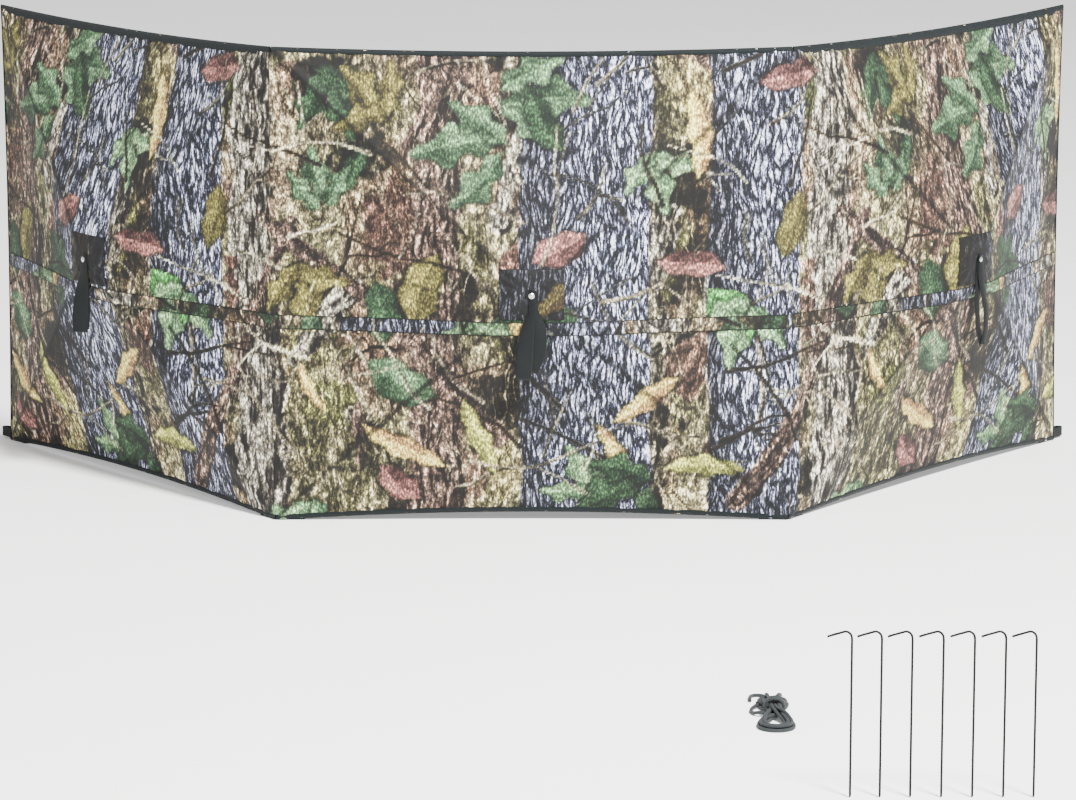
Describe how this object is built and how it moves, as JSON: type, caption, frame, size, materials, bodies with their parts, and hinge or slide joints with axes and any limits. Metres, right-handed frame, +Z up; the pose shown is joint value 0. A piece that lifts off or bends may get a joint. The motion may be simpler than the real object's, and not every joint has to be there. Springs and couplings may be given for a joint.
{
  "type": "layout field blind",
  "caption": "Folding ground blind of tensioned print-fabric panels, each popped out by a hub and poles, with its rope hank and ground stakes.",
  "frame": {"origin": "on the ground, at the middle of the outline of the blind and its loose kit seen from above", "axes": "+X to the right of the printed outer face, +Y towards the hunter behind the panels, +Z up"},
  "size_m": [2.396, 2.9665, 0.981],
  "materials": {
    "print_fabric": "woven polyester with a woodland print, matt",
    "hub_plastic": "moulded nylon, satin black",
    "plate_plastic": "moulded nylon, satin dark green-black",
    "bolt_steel": "zinc-plated steel",
    "tab_webbing": "polypropylene webbing, black",
    "fibreglass": "pultruded fibreglass rod, dark grey",
    "ferrule_aluminium": "drawn aluminium, satin",
    "pocket_webbing": "folded and stitched webbing, black",
    "stake_wire": "steel wire, black oxide",
    "rope": "braided polypropylene rope, dark slate"
  },
  "bodies": {
    "centre_panel": {"centre_fabric": "print_fabric", "centre_pocket_top_left": "pocket_webbing", "centre_pocket_top_right": "pocket_webbing", "centre_pocket_bottom_left": "pocket_webbing", "centre_pocket_bottom_right": "pocket_webbing"},
    "centre_hub_unit": {"centre_hub": "hub_plastic", "centre_hub_plate": "plate_plastic", "centre_hub_bolt": "bolt_steel"},
    "centre_tab": {"centre_pull_tab": "tab_webbing"},
    "centre_arm_top_left": {"centre_ferrule_top_left": "ferrule_aluminium", "centre_pole_top_left": "fibreglass"},
    "centre_arm_top_right": {"centre_ferrule_top_right": "ferrule_aluminium", "centre_pole_top_right": "fibreglass"},
    "centre_arm_bottom_left": {"centre_ferrule_bottom_left": "ferrule_aluminium", "centre_pole_bottom_left": "fibreglass"},
    "centre_arm_bottom_right": {"centre_ferrule_bottom_right": "ferrule_aluminium", "centre_pole_bottom_right": "fibreglass"},
    "left_panel": {"left_fabric": "print_fabric", "left_pocket_top_left": "pocket_webbing", "left_pocket_top_right": "pocket_webbing", "left_pocket_bottom_left": "pocket_webbing", "left_pocket_bottom_right": "pocket_webbing"},
    "left_hub_unit": {"left_hub": "hub_plastic", "left_hub_plate": "plate_plastic", "left_hub_bolt": "bolt_steel"},
    "left_tab": {"left_pull_tab": "tab_webbing"},
    "left_arm_top_left": {"left_ferrule_top_left": "ferrule_aluminium", "left_pole_top_left": "fibreglass"},
    "left_arm_top_right": {"left_ferrule_top_right": "ferrule_aluminium", "left_pole_top_right": "fibreglass"},
    "left_arm_bottom_left": {"left_ferrule_bottom_left": "ferrule_aluminium", "left_pole_bottom_left": "fibreglass"},
    "left_arm_bottom_right": {"left_ferrule_bottom_right": "ferrule_aluminium", "left_pole_bottom_right": "fibreglass"},
    "right_panel": {"right_fabric": "print_fabric", "right_pocket_top_left": "pocket_webbing", "right_pocket_top_right": "pocket_webbing", "right_pocket_bottom_left": "pocket_webbing", "right_pocket_bottom_right": "pocket_webbing"},
    "right_hub_unit": {"right_hub": "hub_plastic", "right_hub_plate": "plate_plastic", "right_hub_bolt": "bolt_steel"},
    "right_tab": {"right_pull_tab": "tab_webbing"},
    "right_arm_top_left": {"right_ferrule_top_left": "ferrule_aluminium", "right_pole_top_left": "fibreglass"},
    "right_arm_top_right": {"right_ferrule_top_right": "ferrule_aluminium", "right_pole_top_right": "fibreglass"},
    "right_arm_bottom_left": {"right_ferrule_bottom_left": "ferrule_aluminium", "right_pole_bottom_left": "fibreglass"},
    "right_arm_bottom_right": {"right_ferrule_bottom_right": "ferrule_aluminium", "right_pole_bottom_right": "fibreglass"},
    "stake_1_body": {"stake_1": "stake_wire"},
    "stake_2_body": {"stake_2": "stake_wire"},
    "stake_3_body": {"stake_3": "stake_wire"},
    "stake_4_body": {"stake_4": "stake_wire"},
    "stake_5_body": {"stake_5": "stake_wire"},
    "stake_6_body": {"stake_6": "stake_wire"},
    "stake_7_body": {"stake_7": "stake_wire"},
    "rope_hank_body": {"rope_hank": "rope"}
  },
  "joints": [
    {"name": "centre_hub_push", "type": "slide", "parent": "centre_panel", "child": "centre_hub_unit", "axis": [0, 1, 0], "range_m": [0, 0.114], "deforming": ["centre_fabric"]},
    {"name": "centre_tab_swing", "type": "hinge", "parent": "centre_hub_unit", "child": "centre_tab", "pos_m": [0, 0.47404, 0.491], "axis": [0, 1, 0], "range_deg": [-75, 75]},
    {"name": "centre_pole_top_left", "type": "hinge", "parent": "centre_hub_unit", "child": "centre_arm_top_left", "pos_m": [-0.01982, 0.49074, 0.50933], "axis": [0.6789, 0, 0.7343], "range_deg": [0, 10.38]},
    {"name": "centre_pole_top_right", "type": "hinge", "parent": "centre_hub_unit", "child": "centre_arm_top_right", "pos_m": [0.01982, 0.49074, 0.50933], "axis": [0.6789, 0, -0.7343], "range_deg": [0, 10.38]},
    {"name": "centre_pole_bottom_left", "type": "hinge", "parent": "centre_hub_unit", "child": "centre_arm_bottom_left", "pos_m": [-0.01982, 0.49074, 0.47267], "axis": [-0.6789, 0, 0.7343], "range_deg": [0, 10.38]},
    {"name": "centre_pole_bottom_right", "type": "hinge", "parent": "centre_hub_unit", "child": "centre_arm_bottom_right", "pos_m": [0.01982, 0.49074, 0.47267], "axis": [-0.6789, 0, -0.7343], "range_deg": [0, 10.38]},
    {"name": "left_hub_push", "type": "slide", "parent": "left_panel", "child": "left_hub_unit", "axis": [0.7934, 0.6088, 0], "range_m": [0, 0.114], "deforming": ["left_fabric"]},
    {"name": "left_tab_swing", "type": "hinge", "parent": "left_hub_unit", "child": "left_tab", "pos_m": [-0.95237, 0.9437, 0.491], "axis": [0.7934, 0.6088, 0], "range_deg": [-75, 75]},
    {"name": "left_pole_top_left", "type": "hinge", "parent": "left_hub_unit", "child": "left_arm_top_left", "pos_m": [-0.95119, 0.96959, 0.50933], "axis": [0.4133, -0.5386, 0.7343], "range_deg": [0, 10.38]},
    {"name": "left_pole_top_right", "type": "hinge", "parent": "left_hub_unit", "child": "left_arm_top_right", "pos_m": [-0.92705, 0.93813, 0.50933], "axis": [0.4133, -0.5386, -0.7343], "range_deg": [0, 10.38]},
    {"name": "left_pole_bottom_left", "type": "hinge", "parent": "left_hub_unit", "child": "left_arm_bottom_left", "pos_m": [-0.95119, 0.96959, 0.47267], "axis": [-0.4133, 0.5386, 0.7343], "range_deg": [0, 10.38]},
    {"name": "left_pole_bottom_right", "type": "hinge", "parent": "left_hub_unit", "child": "left_arm_bottom_right", "pos_m": [-0.92705, 0.93813, 0.47267], "axis": [-0.4133, 0.5386, -0.7343], "range_deg": [0, 10.38]},
    {"name": "right_hub_push", "type": "slide", "parent": "right_panel", "child": "right_hub_unit", "axis": [-0.7934, 0.6088, 0], "range_m": [0, 0.114], "deforming": ["right_fabric"]},
    {"name": "right_tab_swing", "type": "hinge", "parent": "right_hub_unit", "child": "right_tab", "pos_m": [0.95237, 0.9437, 0.491], "axis": [-0.7934, 0.6088, 0], "range_deg": [-75, 75]},
    {"name": "right_pole_top_left", "type": "hinge", "parent": "right_hub_unit", "child": "right_arm_top_left", "pos_m": [0.92705, 0.93813, 0.50933], "axis": [0.4133, 0.5386, 0.7343], "range_deg": [0, 10.38]},
    {"name": "right_pole_top_right", "type": "hinge", "parent": "right_hub_unit", "child": "right_arm_top_right", "pos_m": [0.95119, 0.96959, 0.50933], "axis": [0.4133, 0.5386, -0.7343], "range_deg": [0, 10.38]},
    {"name": "right_pole_bottom_left", "type": "hinge", "parent": "right_hub_unit", "child": "right_arm_bottom_left", "pos_m": [0.92705, 0.93813, 0.47267], "axis": [-0.4133, -0.5386, 0.7343], "range_deg": [0, 10.38]},
    {"name": "right_pole_bottom_right", "type": "hinge", "parent": "right_hub_unit", "child": "right_arm_bottom_right", "pos_m": [0.95119, 0.96959, 0.47267], "axis": [-0.4133, -0.5386, -0.7343], "range_deg": [0, 10.38]},
    {"name": "left_fold", "type": "hinge", "parent": "centre_panel", "child": "left_panel", "pos_m": [-0.53, 0.59974, 0.491], "axis": [0, 0, 1], "range_deg": [-47.5, 52.5]},
    {"name": "right_fold", "type": "hinge", "parent": "centre_panel", "child": "right_panel", "pos_m": [0.53, 0.59974, 0.491], "axis": [0, 0, 1], "range_deg": [-52.5, 47.5]},
    {"name": "stake_1_lift", "type": "slide", "parent": "centre_panel", "child": "stake_1_body", "axis": [0, 0, 1], "range_m": [0, 0.3]},
    {"name": "stake_2_lift", "type": "slide", "parent": "centre_panel", "child": "stake_2_body", "axis": [0, 0, 1], "range_m": [0, 0.3]},
    {"name": "stake_3_lift", "type": "slide", "parent": "centre_panel", "child": "stake_3_body", "axis": [0, 0, 1], "range_m": [0, 0.3]},
    {"name": "stake_4_lift", "type": "slide", "parent": "centre_panel", "child": "stake_4_body", "axis": [0, 0, 1], "range_m": [0, 0.3]},
    {"name": "stake_5_lift", "type": "slide", "parent": "centre_panel", "child": "stake_5_body", "axis": [0, 0, 1], "range_m": [0, 0.3]},
    {"name": "stake_6_lift", "type": "slide", "parent": "centre_panel", "child": "stake_6_body", "axis": [0, 0, 1], "range_m": [0, 0.3]},
    {"name": "stake_7_lift", "type": "slide", "parent": "centre_panel", "child": "stake_7_body", "axis": [0, 0, 1], "range_m": [0, 0.3]},
    {"name": "rope_hank_lift", "type": "slide", "parent": "centre_panel", "child": "rope_hank_body", "axis": [0, 0, 1], "range_m": [0, 0.3]}
  ],
  "couplings": [
    {"joint": "centre_pole_top_left", "follows": "centre_hub_push", "rad_per_m": 1.5439},
    {"joint": "centre_pole_top_right", "follows": "centre_hub_push", "rad_per_m": 1.5439},
    {"joint": "centre_pole_bottom_left", "follows": "centre_hub_push", "rad_per_m": 1.5439},
    {"joint": "centre_pole_bottom_right", "follows": "centre_hub_push", "rad_per_m": 1.5439},
    {"joint": "left_pole_top_left", "follows": "left_hub_push", "rad_per_m": 1.5439},
    {"joint": "left_pole_top_right", "follows": "left_hub_push", "rad_per_m": 1.5439},
    {"joint": "left_pole_bottom_left", "follows": "left_hub_push", "rad_per_m": 1.5439},
    {"joint": "left_pole_bottom_right", "follows": "left_hub_push", "rad_per_m": 1.5439},
    {"joint": "right_pole_top_left", "follows": "right_hub_push", "rad_per_m": 1.5439},
    {"joint": "right_pole_top_right", "follows": "right_hub_push", "rad_per_m": 1.5439},
    {"joint": "right_pole_bottom_left", "follows": "right_hub_push", "rad_per_m": 1.5439},
    {"joint": "right_pole_bottom_right", "follows": "right_hub_push", "rad_per_m": 1.5439}
  ]
}
